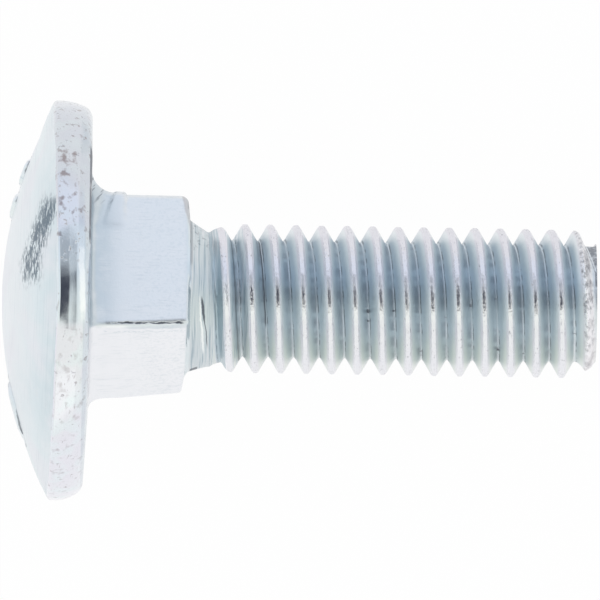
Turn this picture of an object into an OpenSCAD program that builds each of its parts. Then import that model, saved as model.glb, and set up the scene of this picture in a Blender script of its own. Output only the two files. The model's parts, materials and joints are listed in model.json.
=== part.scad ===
// Mushroom head square neck bolt, 6 mm thread, 20 mm long, cold forged in one piece and plated.
// It lies as it comes to rest: the rim of the head, worn a little flat there, and the last thread
// crest touch the floor z = 0.
// Along the bolt, h is the distance from the bearing face under the head, positive to the tip.
// X runs level from head to tip, Z up. The origin is the centre of the bounding box's bottom.

/* [Head] */
// Diameter of the head across its rim
head_diameter = 15.62; // [14.6:0.05:16.8]
// Height of the head from the bearing face to the top of the dome
head_height = 3.42; // [3.1:0.02:3.8]
// Spherical radius of the dome
dome_radius = 15.4; // [14:0.1:19]
// Radius of the worn edge between the dome and the rim
dome_edge = 0.15; // [0.1:0.05:0.6]
// Radius of the edge between the rim and the bearing face
rim_edge = 0.3; // [0.1:0.05:0.5]
// How much the rim narrows, in radius, from the dome to the bearing face
rim_draft = 0.2; // [0:0.02:0.3]
// How deep the rim is worn flat on the side that the bolt lies on
rim_wear = 0.05; // [0:0.01:0.1]
// How far the head sits off the axis of the shank, sideways
head_offset = 0.2; // [0:0.02:0.4]

/* [Square neck] */
// Width of the square neck across its flats, halfway along
neck_width = 5.92; // [5.6:0.02:6.3]
// Length of the neck from the bearing face to the end of its flats
neck_length = 3.9; // [3.4:0.05:4.6]
// How much wider the neck is at the head than at its end
neck_taper = 0.3; // [0:0.02:0.5]
// Radius of the four long edges of the neck
neck_corner = 0.26; // [0.1:0.02:0.6]
// Radius of the fillet where the neck meets the bearing face
neck_fillet = 0.5; // [0.2:0.05:0.8]
// How much sooner than the flats the corners of the neck end
neck_bevel = 0.15; // [0:0.03:0.6]
// Turn of the square about the axis, from flats facing up and down
neck_turn = 60.7; // [0:0.1:90]
// Length of the cone from the end of the neck down to the shank
shoulder_length = 0.55; // [0.3:0.05:0.8]

/* [Shank and thread] */
// Length from the bearing face to the tip
bolt_length = 19.86; // [14:0.02:30]
// Diameter of the plain shank, from which the thread is rolled
shank_diameter = 5.35; // [5.2:0.01:5.45]
// Pitch of the right-hand thread
pitch = 1; // [0.9:0.05:1.1]
// Diameter over the thread crests
major_diameter = 5.85; // [5.75:0.01:6]
// Diameter at the thread roots
minor_diameter = 4.6; // [4.5:0.02:4.8]
// Angle between the two flanks of the thread
flank_angle = 60; // [50:1:62]
// Width of the flat on the thread crest
crest_width = 0.16; // [0.1:0.01:0.18]
// Where the lowest side of the shank meets a crest, as a part of one pitch
thread_phase = 0.78; // [0:0.01:1]
// Plain length between the end of the neck and the first trace of the thread
thread_gap = 0.3; // [0.2:0.05:2]
// Length over which the roots of the thread reach their full depth
thread_runout = 1.2; // [0.8:0.1:2.5]
// How far the crests lag behind the roots as the thread begins
crest_lag = 0.4; // [0:0.05:0.6]

/* [Tip] */
// Diameter of the flat end of the tip
tip_diameter = 4.76; // [4:0.02:5.2]
// Angle of the point to the axis
tip_angle = 30; // [25:1:45]

/* [Hidden] */
$fn = 90;

head_radius = head_diameter / 2;
crest_radius = major_diameter / 2;
root_radius = minor_diameter / 2;
shank_radius = shank_diameter / 2;
tip_radius = tip_diameter / 2;

// The rim stands between the bearing face and the height where the dome reaches its diameter.
dome_centre = dome_radius - head_height;
rim_height = sqrt(pow(dome_radius, 2) - pow(head_radius, 2)) - dome_centre;
dome_edge_r = head_radius - dome_edge;
dome_edge_h = -rim_height + dome_edge * 0.75;
rim_edge_r = head_radius - rim_draft - rim_edge;

// The thread's grid: steps around one turn, and four points of the section for every pitch.
turn_steps = 36;
flank_width = (crest_radius - root_radius) * tan(flank_angle / 2);
root_width = pitch - crest_width - 2 * flank_width;
section = [
    [-crest_width / 2, crest_radius],
    [crest_width / 2, crest_radius],
    [crest_width / 2 + flank_width, root_radius],
    [crest_width / 2 + flank_width + root_width, root_radius],
];
shoulder_end = neck_length + shoulder_length;
thread_start = neck_length + thread_gap;
crest_start = pitch * thread_phase;
first_turn = ceil((neck_length - 0.9 - crest_start) / pitch) - 1;
last_turn = ceil((bolt_length + 0.5 - crest_start) / pitch) + 1;

// Where the bolt touches the floor: points of its outline as [h, radius], at the rim and the tip.
point_length = (crest_radius - tip_radius) / tan(tip_angle);
full_end = bolt_length - point_length;
low_crest = crest_start + crest_width / 2
    + pitch * floor((full_end - crest_start - crest_width / 2) / pitch);
cut_crest = min(low_crest + pitch - crest_width, bolt_length);
rim_touch = [for (p = rim_outline()) [p[1], p[0] - rim_wear]];
tip_touch = [
    [low_crest, crest_radius],
    [cut_crest, min(crest_radius, tip_radius + (bolt_length - cut_crest) * tan(tip_angle))],
    [bolt_length, tip_radius],
];
lie_angle = min([for (t = tip_touch) max([for (r = rim_touch)
    atan2(r[1] - t[1], t[0] - r[0])])]);
lift = max([for (r = rim_touch) r[0] * sin(lie_angle) + r[1] * cos(lie_angle)]);
left_end = dome_centre * cos(lie_angle) - dome_radius;
right_end = bolt_length * cos(lie_angle) + tip_radius * sin(lie_angle);

// Points of the rim as [radius, h], from the bearing face round to the dome.
function rim_outline() = concat(
    [for (a = [-90:22.5:0]) [rim_edge_r + rim_edge * cos(a), -rim_edge + rim_edge * -sin(a)]],
    [for (a = [0:15:60]) [dome_edge_r + dome_edge * cos(a), dome_edge_h - dome_edge * sin(a)]]);

// One ring of the neck's square at height h, its edges moved out by the given amount.
function neck_ring(h, out) =
    let (
        half = neck_width / 2 - neck_corner + neck_taper * (0.5 - h / neck_length) / 2,
        radius = neck_corner + out
    )
    [for (q = [0:3]) for (a = [0:18:90])
        let (t = q * 90 + a, c = q * 90 + 45)
        [half * sqrt(2) * cos(c) + radius * cos(t), half * sqrt(2) * sin(c) + radius * sin(t), h]];

// How far the thread has grown at h, from 0 on the plain shank to 1.
function grown(h, lag) = max(0, min(1, (h - thread_start - lag) / thread_runout));

// A point of the thread: turn angle a in degrees, counted on past 360, and section point p.
function thread_point(a, p) =
    let (
        h = crest_start + pitch * a / 360 + section[p][0],
        r = section[p][1],
        lag = r > shank_radius ? crest_lag : 0,
        now = shank_radius + (r - shank_radius) * grown(h, lag)
    )
    [now * cos(a), now * sin(a), h];

// A solid skinned over rings of points that all have the same count.
module skin(rings) {
    n = len(rings[0]);
    last = len(rings) - 1;
    polyhedron(
        points = [for (ring = rings) for (p = ring) p],
        faces = concat(
            [[for (i = [0:n - 1]) i]],
            [for (k = [0:last - 1]) for (i = [0:n - 1]) let (j = (i + 1) % n)
                [k * n + i, (k + 1) * n + i, (k + 1) * n + j, k * n + j]],
            [[for (i = [n - 1:-1:0]) last * n + i]]),
        convexity = 4);
}

// The thread as one closed strip wound about the axis, with plain ends closed to the axis.
module thread_form() {
    n = turn_steps;
    m = len(section);
    from = first_turn * n;
    to = last_turn * n;
    count = to - from;
    low = (count + 1) * m;
    high = low + 1;
    ends = [[0, 0, crest_start + pitch * (first_turn + 0.5)],
        [0, 0, crest_start + pitch * (last_turn - 0.5)]];
    polyhedron(
        points = concat(
            [for (i = [from:to]) for (p = [0:m - 1]) thread_point(i * 360 / n, p)], ends),
        faces = concat(
            [for (i = [0:count - 1]) for (p = [0:m - 2]) for (t = [0, 1])
                let (a = i * m + p, b = a + m)
                t == 0 ? [a, a + 1, b + 1] : [a, b + 1, b]],
            [for (i = [0:count - n - 1]) for (t = [0, 1])
                let (a = i * m + m - 1, b = a + m, c = (i + n) * m, d = c + m)
                t == 0 ? [a, c, d] : [a, d, b]],
            [for (i = [0:n - 1]) [low, i * m, (i + 1) * m]],
            [for (p = [0:m - 2]) [low, p + 1, p]],
            [[low, n * m, m - 1]],
            [for (i = [count - n:count - 1]) [high, (i + 1) * m + m - 1, i * m + m - 1]],
            [for (p = [0:m - 2]) [high, count * m + p, count * m + p + 1]],
            [[high, (count - n) * m + m - 1, count * m]]),
        convexity = 30);
}

// The dome and rim of the head, its bearing face at h = 0.
module head() {
    translate([0, -head_offset, 0])
        intersection() {
            translate([0, 0, dome_centre]) sphere(r = dome_radius, $fn = 180);
            rotate_extrude() polygon(concat(
                [[0, 0]], rim_outline(),
                [[dome_edge_r - dome_edge, dome_edge_h - dome_edge * 1.7],
                 [dome_edge_r - dome_edge, -2 * head_height], [0, -2 * head_height]]));
        }
}

// The square neck with its fillet under the head, its ends bevelled down to the shank.
module neck() {
    f = neck_fillet;
    rings = concat(
        [neck_ring(-0.7 * rim_height, 1.3 * f), neck_ring(-0.06 * f, 1.3 * f)],
        [for (a = [22.5:22.5:90]) neck_ring(f * (1 - cos(a)), f * (1 - sin(a)))],
        [neck_ring(shoulder_end + 0.4, 0)]);
    outer = neck_width;
    wide = neck_width / 2 * sqrt(2);
    slope = neck_bevel / (wide - neck_width / 2);
    reach = 0.2;
    intersection() {
        rotate([0, 0, neck_turn]) skin(rings);
        rotate_extrude() polygon([
            [0, -head_height], [outer, -head_height],
            [outer, neck_length - slope * (outer - neck_width / 2)],
            [neck_width / 2, neck_length],
            [shank_radius - reach * (neck_width / 2 - shank_radius),
             neck_length + shoulder_length * (1 + reach)],
            [0, neck_length + shoulder_length * (1 + reach)]]);
    }
}

// The threaded shank, cut flat and pointed at its tip.
module threaded_shank() {
    wide = crest_radius + 0.3;
    intersection() {
        thread_form();
        rotate_extrude() polygon([
            [0, -2 * head_height], [wide, -2 * head_height],
            [wide, bolt_length - (wide - tip_radius) / tan(tip_angle)],
            [tip_radius, bolt_length], [0, bolt_length]]);
    }
}

module bolt() {
    color([0.8, 0.83, 0.87])
        difference() {
            translate([-(left_end + right_end) / 2, head_offset, lift])
                rotate([0, 90 + lie_angle, 0])
                    union() {
                        head();
                        neck();
                        threaded_shank();
                    }
            // The rim is worn off level with the floor.
            translate([-2 * head_diameter, -head_diameter, -head_diameter])
                cube([2 * head_diameter, 2 * head_diameter, head_diameter]);
        }
}

bolt();
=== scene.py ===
"""A zinc plated carriage bolt, forged in one piece, lying on a pale studio floor."""

import json
import math

import bmesh
import bpy
from bpy.props import FloatProperty, FloatVectorProperty, IntProperty, PointerProperty
from mathutils import Matrix, Vector, noise


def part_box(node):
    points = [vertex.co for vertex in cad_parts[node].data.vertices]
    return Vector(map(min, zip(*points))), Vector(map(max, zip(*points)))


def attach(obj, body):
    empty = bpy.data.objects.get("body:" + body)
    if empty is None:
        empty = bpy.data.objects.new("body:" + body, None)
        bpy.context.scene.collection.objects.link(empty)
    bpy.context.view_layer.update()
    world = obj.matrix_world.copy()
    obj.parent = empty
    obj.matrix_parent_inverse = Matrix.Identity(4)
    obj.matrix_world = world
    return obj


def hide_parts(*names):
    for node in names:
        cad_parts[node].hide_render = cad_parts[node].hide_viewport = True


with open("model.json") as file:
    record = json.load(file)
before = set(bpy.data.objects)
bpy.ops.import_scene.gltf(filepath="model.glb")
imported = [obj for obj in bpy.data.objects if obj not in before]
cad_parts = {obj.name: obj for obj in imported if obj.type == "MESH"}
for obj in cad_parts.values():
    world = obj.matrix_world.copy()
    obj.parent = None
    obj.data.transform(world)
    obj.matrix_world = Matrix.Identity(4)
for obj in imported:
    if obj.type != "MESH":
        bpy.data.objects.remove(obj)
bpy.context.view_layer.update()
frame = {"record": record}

bl_info = {
    "name": "Carriage Bolt",
    "version": (1, 0, 0),
    "blender": (4, 5, 0),
    "location": "View3D > Sidebar > Bolt",
    "description": "A plated carriage bolt with a low domed head, a square neck and a rolled thread",
    "category": "Object",
}

MM = 0.001
# Columns of faces around the bolt, and rows of them along its head and neck.
SPOKES = 192
DOME_ROWS = 44
EDGE_ROWS = 8  # over each edge of the rim, and up the fillets
RIM_ROWS = 20
BEARING_ROWS = 12
WALL_ROWS = 30
ROUND_ROWS = 5  # over the edge where the neck's walls end
END_ROWS = 6  # from that edge to the shoulder
# Plain raised bars on the dome: turn about the axis, and distance from it, span and width in mm.
BARS = ((math.radians(92), 5.0, 1.3, 1.2), (math.radians(96), 3.7, 1.2, 1.1),
        (math.radians(263), 4.4, 1.6, 2.6))
BAR_HEIGHT = 0.13 * MM
# In pixels: the photograph's width, the thread's pitch, and where the bearing face and axis are.
PICTURE, PITCH_PIXELS, BEARING_COLUMN, AXIS_ROW = 600, 25.56, 89.5, 299.5
bearing = next(m for m in frame["record"]["mounts"] if m["name"] == "bearing_face")
AXIS = Vector(bearing["axis"]).normalized()
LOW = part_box("bolt")[0]


def length(name, words, value):
    """A size given in millimetres and kept in metres, as Blender keeps lengths."""
    return FloatProperty(name=name, description=words, default=value * MM, unit="LENGTH",
                         precision=5)


def angle(name, words, value):
    """An angle given in degrees."""
    return FloatProperty(name=name, description=words, default=math.radians(value), unit="ROTATION")


def colour(name, words, value):
    return FloatVectorProperty(name=name, description=words, default=value, subtype="COLOR",
                               size=3, min=0, max=1)


def plain(name, words, value):
    return FloatProperty(name=name, description=words, default=value)


class BoltSizes(bpy.types.PropertyGroup):
    """Sizes of the bolt: those of the solid, and those of its finer forms."""

    head_diameter: length("Head Diameter", "Diameter across the rim", 15.62)
    head_height: length("Head Height", "From the bearing face to the top of the dome", 3.42)
    dome_radius: length("Dome Radius", "Spherical radius of the dome", 15.4)
    dome_edge: length("Dome Edge", "Radius between dome and rim", 0.15)
    rim_edge: length("Rim Edge", "Radius between rim and bearing face", 0.28)
    rim_draft: length("Rim Draft", "How much the rim narrows to the bearing face", 0.2)
    head_offset: length("Head Offset", "How far the head sits off the axis", 0.2)
    neck_width: length("Neck Width", "Across the flats, halfway along", 5.92)
    neck_length: length("Neck Length", "From the bearing face to the end of the flats", 3.9)
    neck_taper: length("Neck Taper", "How much wider the neck is at the head", 0.3)
    neck_corner: length("Neck Corner", "Radius of the long edges", 0.26)
    neck_fillet: length("Neck Fillet", "Radius under the head, at the corners", 0.5)
    neck_web: length("Neck Web", "Radius under the head at the corner with the large web", 0.95)
    neck_bevel: length("Neck Bevel", "How much sooner the corners end", 0.15)
    neck_lean: length("Neck Lean", "How far the neck's end has slid aside", 0.11)
    neck_fold: length("Neck Fold", "How thick the metal folded over on the large web is", 0.11)
    neck_turn: angle("Neck Turn", "Turn of the square about the axis", 60.7)
    shoulder_length: length("Shoulder Length", "Cone from the neck to the shank", 0.55)
    bolt_length: length("Bolt Length", "From the bearing face to the tip", 19.86)
    shoulder_lean: length("Shoulder Lean", "How much wider the shoulder starts on top", 0.06)
    end_skew: length("End Skew", "How much shorter the upper side is sheared", 0.15)
    end_wear: length("End Wear", "How much lower the last crest is", 0.3)
    shank_diameter: length("Shank Diameter", "Plain shank before rolling", 5.35)
    pitch: length("Pitch", "Pitch of the right-hand thread", 1.0)
    major_diameter: length("Major Diameter", "Over the crests", 5.81)
    minor_diameter: length("Minor Diameter", "At the roots", 4.52)
    crest_width: length("Crest Width", "Flat on the crest before rounding", 0.18)
    root_round: length("Root Rounding", "How softly the flanks run into the root", 0.16)
    flank_angle: angle("Flank Angle", "Angle between the two flanks", 60)
    thread_phase: plain("Thread Phase", "Where the lowest side meets a crest, in pitches", 0.78)
    thread_start: length("Thread Start", "Where the first trace of the thread lies", 4.25)
    thread_runout: length("Thread Run-out", "Length over which the roots deepen", 1.0)
    crest_lag: length("Crest Lag", "How far the crests lag behind the roots", 0.4)
    tip_diameter: length("Tip Diameter", "Flat end of the tip", 4.76)
    tip_angle: angle("Tip Angle", "Angle of the point to the axis", 30)
    section_rows: IntProperty(name="Section Rows", description="Faces across one pitch", default=18)


class BoltFinish(bpy.types.PropertyGroup):
    """Colours of the zinc layer and of what has worn it, and of the painted shade, reflection and
    highlight laid over them.
    """

    thread_zinc: colour("Thread Zinc", "Bright layer with its teal tint", (0.70, 0.77, 0.80))
    dome_zinc: colour("Dome Zinc", "Pale cyan layer of the dome", (0.74, 0.83, 0.87))
    neck_zinc: colour("Neck Zinc", "Lilac blue of the neck's flats", (0.767, 0.795, 0.825))
    # Lilac is the layer's own tint, and also a painted highlight along the folds in the thread's roots.
    lilac: colour("Lilac", "Where the layer turns lilac", (0.80, 0.80, 0.86))
    # Pale is real rubbed metal, and also a painted reflection on the neck's flats below the foremost
    # edge and on one flank of each turn towards -y.
    pale: colour("Pale", "Rubbed, almost white metal", (0.88, 0.89, 0.92))
    # Shade colours real die streaks, scratches and mottle and the lip and line by the neck's crack. It
    # is also painted shade towards the dome's edge and -y, on the rim's back edge and +y side, along its
    # front edge, where the neck's upper flats end and in the first groove. In the fillet it is a painted
    # reflection of the head's underside.
    shade: colour("Shade", "Die streaks and the fillet's teal", (0.42, 0.52, 0.58))
    # Bruised steel is laid on real folds, scuffs, cracks and specks. It is also laid as painted shade
    # along the rim's back edge and in the crease where the neck ends, and it darkens the plain shank a
    # little all round.
    steel: colour("Bruised Steel", "Folds and scuffs", (0.10, 0.11, 0.14))
    rust: colour("Stained Pits", "Brown grey pits of the rim", (0.32, 0.28, 0.29))
    sheared: colour("Sheared Steel", "Matt cone between the last crest and the end", (0.92, 0.905, 0.93))
    # A painted highlight: white on the rim's facet, on the dome towards +y and -y, and on the gouge's
    # lip.
    painted_highlight: colour("Polished", "Narrow facet of the rim that shines white", (0.98, 1.0, 1.0))
    # Painted shade: the crests laid darker away from the line nearest the camera.
    shaded_crest: colour("Worn Crest", "Matt metal of the crests", (0.76, 0.757, 0.81))
    smudge: colour("Smudge", "Streaked patch on the dome", (0.10, 0.15, 0.20))
    # Painted shade: darker and bluer in the thread's roots and on the rim before its facet.
    root_shade: colour("Root Zinc", "Bluer layer left in the roots", (0.50, 0.58, 0.65))
    # Painted reflection: a warm tint multiplied into the flanks towards -y.
    warm_reflection: colour("Warm Tint", "Multiplies the colour of the lower flanks", (1.0, 1.0, 0.93))
    roughness: plain("Roughness", "Roughness of smooth plated metal", 0.3)


class StageProps(bpy.types.PropertyGroup):
    """Camera and light."""

    distance: length("Distance", "Camera to the bolt's axis", 260)
    field: length("Field", "Width of the picture at the axis", PICTURE / PITCH_PIXELS)
    lean: angle("Lean", "How far the tip points away from the camera", 2.0)
    roll: angle("Roll", "How far the bolt dips to the right", 0.97)
    floor: colour("Floor", "Colour of the floor", (0.9, 0.9, 0.9))
    lamps: plain("Lamps", "Power of each side lamp in watts", 0.02)


class Value:
    """A socket of a node tree, with the arithmetic of a number."""

    def __init__(self, graph, socket):
        self.graph, self.socket = graph, socket

    def math(self, operation, *others):
        return self.graph.math(operation, self, *others)

    def __add__(self, other):
        return self.math("ADD", other)

    def __radd__(self, other):
        return self.graph.math("ADD", other, self)

    def __sub__(self, other):
        return self.math("SUBTRACT", other)

    def __rsub__(self, other):
        return self.graph.math("SUBTRACT", other, self)

    def __mul__(self, other):
        return self.math("MULTIPLY", other)

    def __rmul__(self, other):
        return self.graph.math("MULTIPLY", other, self)

    def __truediv__(self, other):
        return self.math("DIVIDE", other)

    def __rtruediv__(self, other):
        return self.graph.math("DIVIDE", other, self)

    def __neg__(self):
        return self.math("MULTIPLY", -1)

    def __abs__(self):
        return self.math("ABSOLUTE")

    def least(self, other):
        return self.math("MINIMUM", other)

    def most(self, other):
        return self.math("MAXIMUM", other)

    def ramp(self, low, high, to_low=0.0, to_high=1.0, smooth=True):
        """0 to 1 as the value goes from low to high, held outside them."""
        kind = "SMOOTHSTEP" if smooth else "LINEAR"
        return self.graph.add("ShaderNodeMapRange", {0: self, 1: low, 2: high, 3: to_low, 4: to_high},
                              interpolation_type=kind)


class Graph:
    """Adds nodes to one tree. Values may be numbers, colours or sockets."""

    def __init__(self, tree):
        self.tree = tree

    def add(self, kind, values=None, out=0, **settings):
        """A node of a kind, its settings set first, then its inputs. out says which output is used."""
        node = self.tree.nodes.new(kind)
        for name, setting in settings.items():
            setattr(node, name, setting)
        for key, value in (values or {}).items():
            if isinstance(value, Value):
                self.tree.links.new(value.socket, node.inputs[key])
            else:
                node.inputs[key].default_value = value
        return Value(self, node.outputs[out]) if out is not None else node

    def math(self, operation, *values):
        return self.add("ShaderNodeMath", dict(enumerate(values)), operation=operation)

    def vector(self, x, y, z):
        return self.add("ShaderNodeCombineXYZ", {0: x, 1: y, 2: z})

    def parts(self, vector):
        node = self.add("ShaderNodeSeparateXYZ", {0: vector}, out=None)
        return [Value(self, socket) for socket in node.outputs]

    def mix(self, factor, first, second, blend="MIX"):
        """Two colours mixed."""
        first, second = [c if isinstance(c, Value) else (*c, 1) for c in (first, second)]
        return self.add("ShaderNodeMix", {0: factor, 6: first, 7: second}, out=2, data_type="RGBA",
                        blend_type=blend)

    def noise(self, place, scale, detail=3.0, rough=0.5):
        return self.add("ShaderNodeTexNoise",
                        {"Vector": place, "Scale": scale, "Detail": detail, "Roughness": rough})

    def stretched(self, place, x, y, z):
        return self.add("ShaderNodeVectorMath", {0: place, 1: (x, y, z)}, operation="MULTIPLY")


def to_row():
    """From the bolt's own frame, with its axis on Z and its bearing face at 0, to the row's."""
    sizes = bpy.context.scene.bolt_sizes
    turn = Matrix.Rotation(math.atan2(AXIS.x, AXIS.z), 4, "Y")
    at = Vector(bearing["pos_m"])
    at.y = -LOW.y - sizes.head_diameter / 2
    at.y += sizes.head_offset
    return Matrix.Translation(at) @ turn


def thread_values(s, metal):
    """What the thread's tree is given, under the names of its inputs. Lengths are in metres."""
    first = math.floor((s.neck_length / s.pitch) - s.thread_phase) - 1
    last = math.ceil((s.bolt_length / s.pitch) - s.thread_phase) + 1
    return {
        "Pitch": s.pitch, "Crest Radius": s.major_diameter / 2, "Root Radius": s.minor_diameter / 2,
        "Shank Radius": s.shank_diameter / 2, "Neck Radius": s.neck_width / 2,
        "Crest Width": s.crest_width, "Shoulder Start": s.neck_length,
        "Shoulder Length": s.shoulder_length, "Thread Start": s.thread_start,
        "Run-out": s.thread_runout, "Crest Lag": s.crest_lag, "Tip Radius": s.tip_diameter / 2,
        "Bolt Length": s.bolt_length, "End Skew": s.end_skew, "End Wear": s.end_wear,
        "Root Rounding": s.root_round, "Shoulder Lean": s.shoulder_lean,
        "Unevenness": 0.02 * MM, "Phase": s.thread_phase,
        "Flank Slope": 1 / math.tan(s.flank_angle / 2), "Tip Slope": math.tan(s.tip_angle),
        "Seed": 3.0, "First Turn": first, "Turns": last - first, "Spokes": SPOKES,
        "Rows": s.section_rows, "Metal": metal,
    }


def thread_sockets(tree, values):
    """Gives the thread's tree an input for each value, and its output."""
    kinds = {float: "NodeSocketFloat", int: "NodeSocketInt"}
    for name, value in values.items():
        kind = kinds.get(type(value), "NodeSocketMaterial")
        tree.interface.new_socket(name, in_out="INPUT", socket_type=kind)
    tree.interface.new_socket("Geometry", in_out="OUTPUT", socket_type="NodeSocketGeometry")


def section_radius(v, aside, past_end):
    """Crest, flank and root by the distance from the crest line, run softly together."""
    flank = v["Crest Radius"] - (aside - v["Crest Width"] / 2) * v["Flank Slope"]
    flank = flank - past_end.ramp(-0.95 * MM, -0.4 * MM) * v["End Wear"]
    section = flank.math("SMOOTH_MAX", v["Root Radius"], v["Root Rounding"])
    return section.math("SMOOTH_MIN", v["Crest Radius"], 0.08 * MM)


def grown_radius(v, section, h):
    """The thread grows out of the plain shank, the roots first and the crests after them."""
    rise = section - v["Shank Radius"]
    deep = (h - v["Thread Start"]).ramp(0.0, v["Run-out"], smooth=False)
    high = (h - v["Thread Start"] - v["Crest Lag"]).ramp(0.0, v["Run-out"], smooth=False)
    return v["Shank Radius"] + rise.least(0.0) * deep + rise.most(0.0) * high


def shoulder_radius(v, h, sine):
    """The shoulder's cone, which starts wider and is steeper on the side towards +Y."""
    gentle = v["Shoulder Length"] * (1.1 - 0.2 * sine)
    wide = v["Neck Radius"] + v["Shoulder Lean"] * sine
    return wide - (wide - v["Shank Radius"]) * ((h - v["Shoulder Start"]) / gentle)


def unevenness(g, v, place, h):
    """Small bumps all over, none where the shoulder meets the neck."""
    coarse = g.noise(place, 900.0, 2.0) - 0.5
    fine = g.noise(place, 4200.0, 1.0) - 0.5
    clear = (h - v["Shoulder Start"]).ramp(0.0, 0.3 * MM)
    return (coarse * 2.2 + fine * 0.9) * v["Unevenness"] * clear


def thread_tree(values):
    """Winds a flat grid into the shoulder, the rolled thread and the pointed tip, open at both ends."""
    tree = bpy.data.node_groups.new("rolled_thread", "GeometryNodeTree")
    thread_sockets(tree, values)
    g = Graph(tree)
    given = g.add("NodeGroupInput", out=None)
    v = {socket.name: Value(g, socket) for socket in given.outputs if socket.name}

    # Columns go round the bolt turn after turn. Rows cross one pitch, closer at its crest and root.
    grid = g.add("GeometryNodeMeshGrid", {"Size X": v["Turns"], "Size Y": 1.0,
                                          "Vertices X": v["Turns"] * v["Spokes"] + 1,
                                          "Vertices Y": v["Rows"] + 1})
    across, along, _ = g.parts(g.add("GeometryNodeInputPosition"))
    turn = across + v["Turns"] / 2 + v["First Turn"]
    row = along + 0.5
    row = row - (row * 4 * math.pi).math("SINE") * (0.45 / 4 / math.pi)
    base = v["Phase"] * v["Pitch"]
    angle = turn * 2 * math.pi
    cosine, sine = angle.math("COSINE"), angle.math("SINE")
    end = v["Bolt Length"] - v["End Skew"] * (0.2 - cosine * 0.8 + sine * 0.15).most(0.0)
    h = (base + v["Pitch"] * (turn + row)).most(v["Shoulder Start"]).least(end)

    aside = ((h - base) / v["Pitch"] - turn).math("PINGPONG", 0.5) * v["Pitch"]
    radius = grown_radius(v, section_radius(v, aside, h - end), h)
    radius = radius.math("SMOOTH_MAX", shoulder_radius(v, h, sine), 0.12 * MM)
    point = v["Tip Radius"] + (v["Bolt Length"] - h) * v["Tip Slope"]
    radius = radius.math("SMOOTH_MIN", point, 0.1 * MM)
    place = g.vector(cosine * radius, sine * radius, h + v["Seed"] * MM)
    radius = radius + unevenness(g, v, place, h)

    wound = g.add("GeometryNodeSetPosition",
                  {"Geometry": grid, "Position": g.vector(cosine * radius, sine * radius, h)})
    closed = g.add("GeometryNodeMergeByDistance", {"Geometry": wound, "Distance": 0.002 * MM})
    real = g.add("GeometryNodeRealizeInstances", {"Geometry": closed})
    done = g.add("GeometryNodeSetMaterial", {"Geometry": real, "Material": v["Metal"]})
    g.add("NodeGroupOutput", {"Geometry": done}, out=None)
    return tree


def wound_thread(s, metal):
    """The mesh that the thread tree makes, in the bolt's own frame."""
    obj = bpy.data.objects.new("thread_former", bpy.data.meshes.new("thread_former"))
    bpy.context.collection.objects.link(obj)
    values = thread_values(s, metal)
    modifier = obj.modifiers.new("rolled_thread", "NODES")
    modifier.node_group = thread_tree(values)
    for item in modifier.node_group.interface.items_tree:
        if item.in_out == "INPUT":
            modifier[item.identifier] = values[item.name]
    shown = obj.evaluated_get(bpy.context.evaluated_depsgraph_get())
    mesh = bpy.data.meshes.new_from_object(shown)
    obj.modifiers.remove(modifier)
    bpy.data.objects.remove(obj)
    return mesh


def spoke(i):
    """Turn about the axis of a column of faces."""
    return 2 * math.pi * i / SPOKES


def clamp(value):
    """The value held between 0 and 1."""
    return min(1.0, max(0.0, value))


def square_point(i, half, corner, turn):
    """A point on a square with rounded corners, how near a corner it is, 0 to 1, and which one."""
    arc = 0.11
    where = (spoke(i) - turn) / (math.pi / 2) - 0.5
    side, part = math.floor(where), where - math.floor(where)

    def bend(q, angle):
        middle = turn + (q + 0.5) * math.pi / 2
        out = half * math.sqrt(2)
        return Vector((out * math.cos(middle) + corner * math.cos(middle + angle),
                       out * math.sin(middle) + corner * math.sin(middle + angle)))

    if part < arc:
        point = bend(side, part / arc * math.pi / 4)
    elif part > 1 - arc:
        point = bend(side + 1, -(1 - part) / arc * math.pi / 4)
    else:
        t = (part - arc) / (1 - 2 * arc)
        point = bend(side, math.pi / 4).lerp(bend(side + 1, -math.pi / 4), t)
    nearness = max(0.0, 1 - min(part, 1 - part) / 0.3)
    return point, nearness, (side + (part > 0.5)) % 4


def dome_outline(s):
    """Radius and height of points from the middle of the dome to the top of the rim."""
    centre = s.dome_radius - s.head_height
    across = s.head_diameter / 2 - s.dome_edge
    above = centre - math.sqrt((s.dome_radius - s.dome_edge) ** 2 - across ** 2)
    steep = math.atan2(centre - above, across)
    reach = s.dome_radius * math.cos(steep)
    points = []
    for i in range(1, DOME_ROWS):
        r = reach * i / DOME_ROWS
        points.append((r, centre - math.sqrt(s.dome_radius ** 2 - r ** 2)))
    for i in range(EDGE_ROWS):
        a = steep * (1 - i / (EDGE_ROWS - 1))
        points.append((across + s.dome_edge * math.cos(a), above - s.dome_edge * math.sin(a)))
    return points


def trimmed_slope(t):
    """Slope of the three flats that the trimming die left, t from 0 to 1 down the rim."""
    if t < 0.4:
        return 0.0
    return 0.115 if t < 0.8 else 0.3


def rim_outline(s, above, trimmed):
    """Radius and height of points down the rim, from the height above, to the bearing face.

    The rim bulges where trimmed is 0. Where it is 1 it has three flats."""
    radius, low = s.head_diameter / 2, -s.rim_edge
    points, drop, flat = [], [], 0.0
    for i in range(1, RIM_ROWS + 1):
        t = i / RIM_ROWS
        flat += (low - above) / RIM_ROWS * trimmed_slope(t)
        drop.append(s.rim_draft * t ** 2.6 * (1 - trimmed) + flat * trimmed)
        points.append((radius - drop[-1], above + (low - above) * t))
    slope = math.atan2(drop[-1] - drop[-2], (low - above) / RIM_ROWS)
    wide = s.rim_edge / (1 - math.sin(slope))
    for i in range(1, EDGE_ROWS + 1):
        a = slope + (math.pi / 2 - slope) * i / EDGE_ROWS
        points.append((radius - drop[-1] + wide * (math.cos(a) - math.cos(slope)),
                       low + wide * (math.sin(a) - math.sin(slope))))
    return points


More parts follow.
